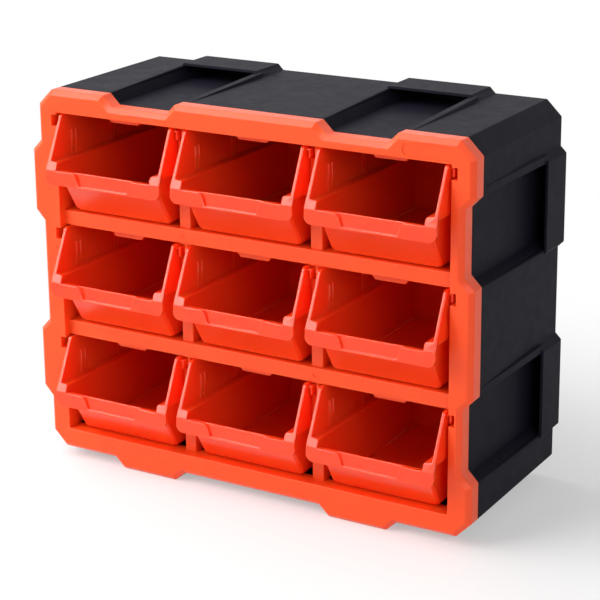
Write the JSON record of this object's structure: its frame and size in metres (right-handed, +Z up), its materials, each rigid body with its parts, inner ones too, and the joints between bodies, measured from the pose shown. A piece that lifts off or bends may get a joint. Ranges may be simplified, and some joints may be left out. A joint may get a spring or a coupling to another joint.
{
  "type": "modular bin rack",
  "caption": "Modular rack for small parts: a dark moulded case with a bright front frame, pull-out hopper bins and interlocking edges for joining further units.",
  "frame": {"origin": "middle of the bounding box in plan, at the underside of the rails the unit stands on", "axes": "+X to the right seen from the front, -Y towards the front with the bins, +Z up"},
  "size_m": [0.3204, 0.1404, 0.2554],
  "materials": {
    "black_shell": "fine-textured moulded plastic",
    "orange_frame": "satin moulded plastic",
    "orange_bin": "satin moulded plastic, slightly glossier inside"
  },
  "bodies": {
    "rack": {"rear_shell": "black_shell", "front_frame": "orange_frame", "shelf_upper": "orange_frame", "shelf_lower": "orange_frame"},
    "bin_top_left": {"bin_top_left": "orange_bin"},
    "bin_top_centre": {"bin_top_centre": "orange_bin"},
    "bin_top_right": {"bin_top_right": "orange_bin"},
    "bin_middle_left": {"bin_middle_left": "orange_bin"},
    "bin_middle_centre": {"bin_middle_centre": "orange_bin"},
    "bin_middle_right": {"bin_middle_right": "orange_bin"},
    "bin_bottom_left": {"bin_bottom_left": "orange_bin"},
    "bin_bottom_centre": {"bin_bottom_centre": "orange_bin"},
    "bin_bottom_right": {"bin_bottom_right": "orange_bin"}
  },
  "joints": [
    {"name": "bin_top_left_slide", "type": "slide", "parent": "rack", "child": "bin_top_left", "axis": [0, -1, 0], "range_m": [0, 0.099]},
    {"name": "bin_top_centre_slide", "type": "slide", "parent": "rack", "child": "bin_top_centre", "axis": [0, -1, 0], "range_m": [0, 0.099]},
    {"name": "bin_top_right_slide", "type": "slide", "parent": "rack", "child": "bin_top_right", "axis": [0, -1, 0], "range_m": [0, 0.099]},
    {"name": "bin_middle_left_slide", "type": "slide", "parent": "rack", "child": "bin_middle_left", "axis": [0, -1, 0], "range_m": [0, 0.099]},
    {"name": "bin_middle_centre_slide", "type": "slide", "parent": "rack", "child": "bin_middle_centre", "axis": [0, -1, 0], "range_m": [0, 0.099]},
    {"name": "bin_middle_right_slide", "type": "slide", "parent": "rack", "child": "bin_middle_right", "axis": [0, -1, 0], "range_m": [0, 0.099]},
    {"name": "bin_bottom_left_slide", "type": "slide", "parent": "rack", "child": "bin_bottom_left", "axis": [0, -1, 0], "range_m": [0, 0.099]},
    {"name": "bin_bottom_centre_slide", "type": "slide", "parent": "rack", "child": "bin_bottom_centre", "axis": [0, -1, 0], "range_m": [0, 0.099]},
    {"name": "bin_bottom_right_slide", "type": "slide", "parent": "rack", "child": "bin_bottom_right", "axis": [0, -1, 0], "range_m": [0, 0.099]}
  ]
}
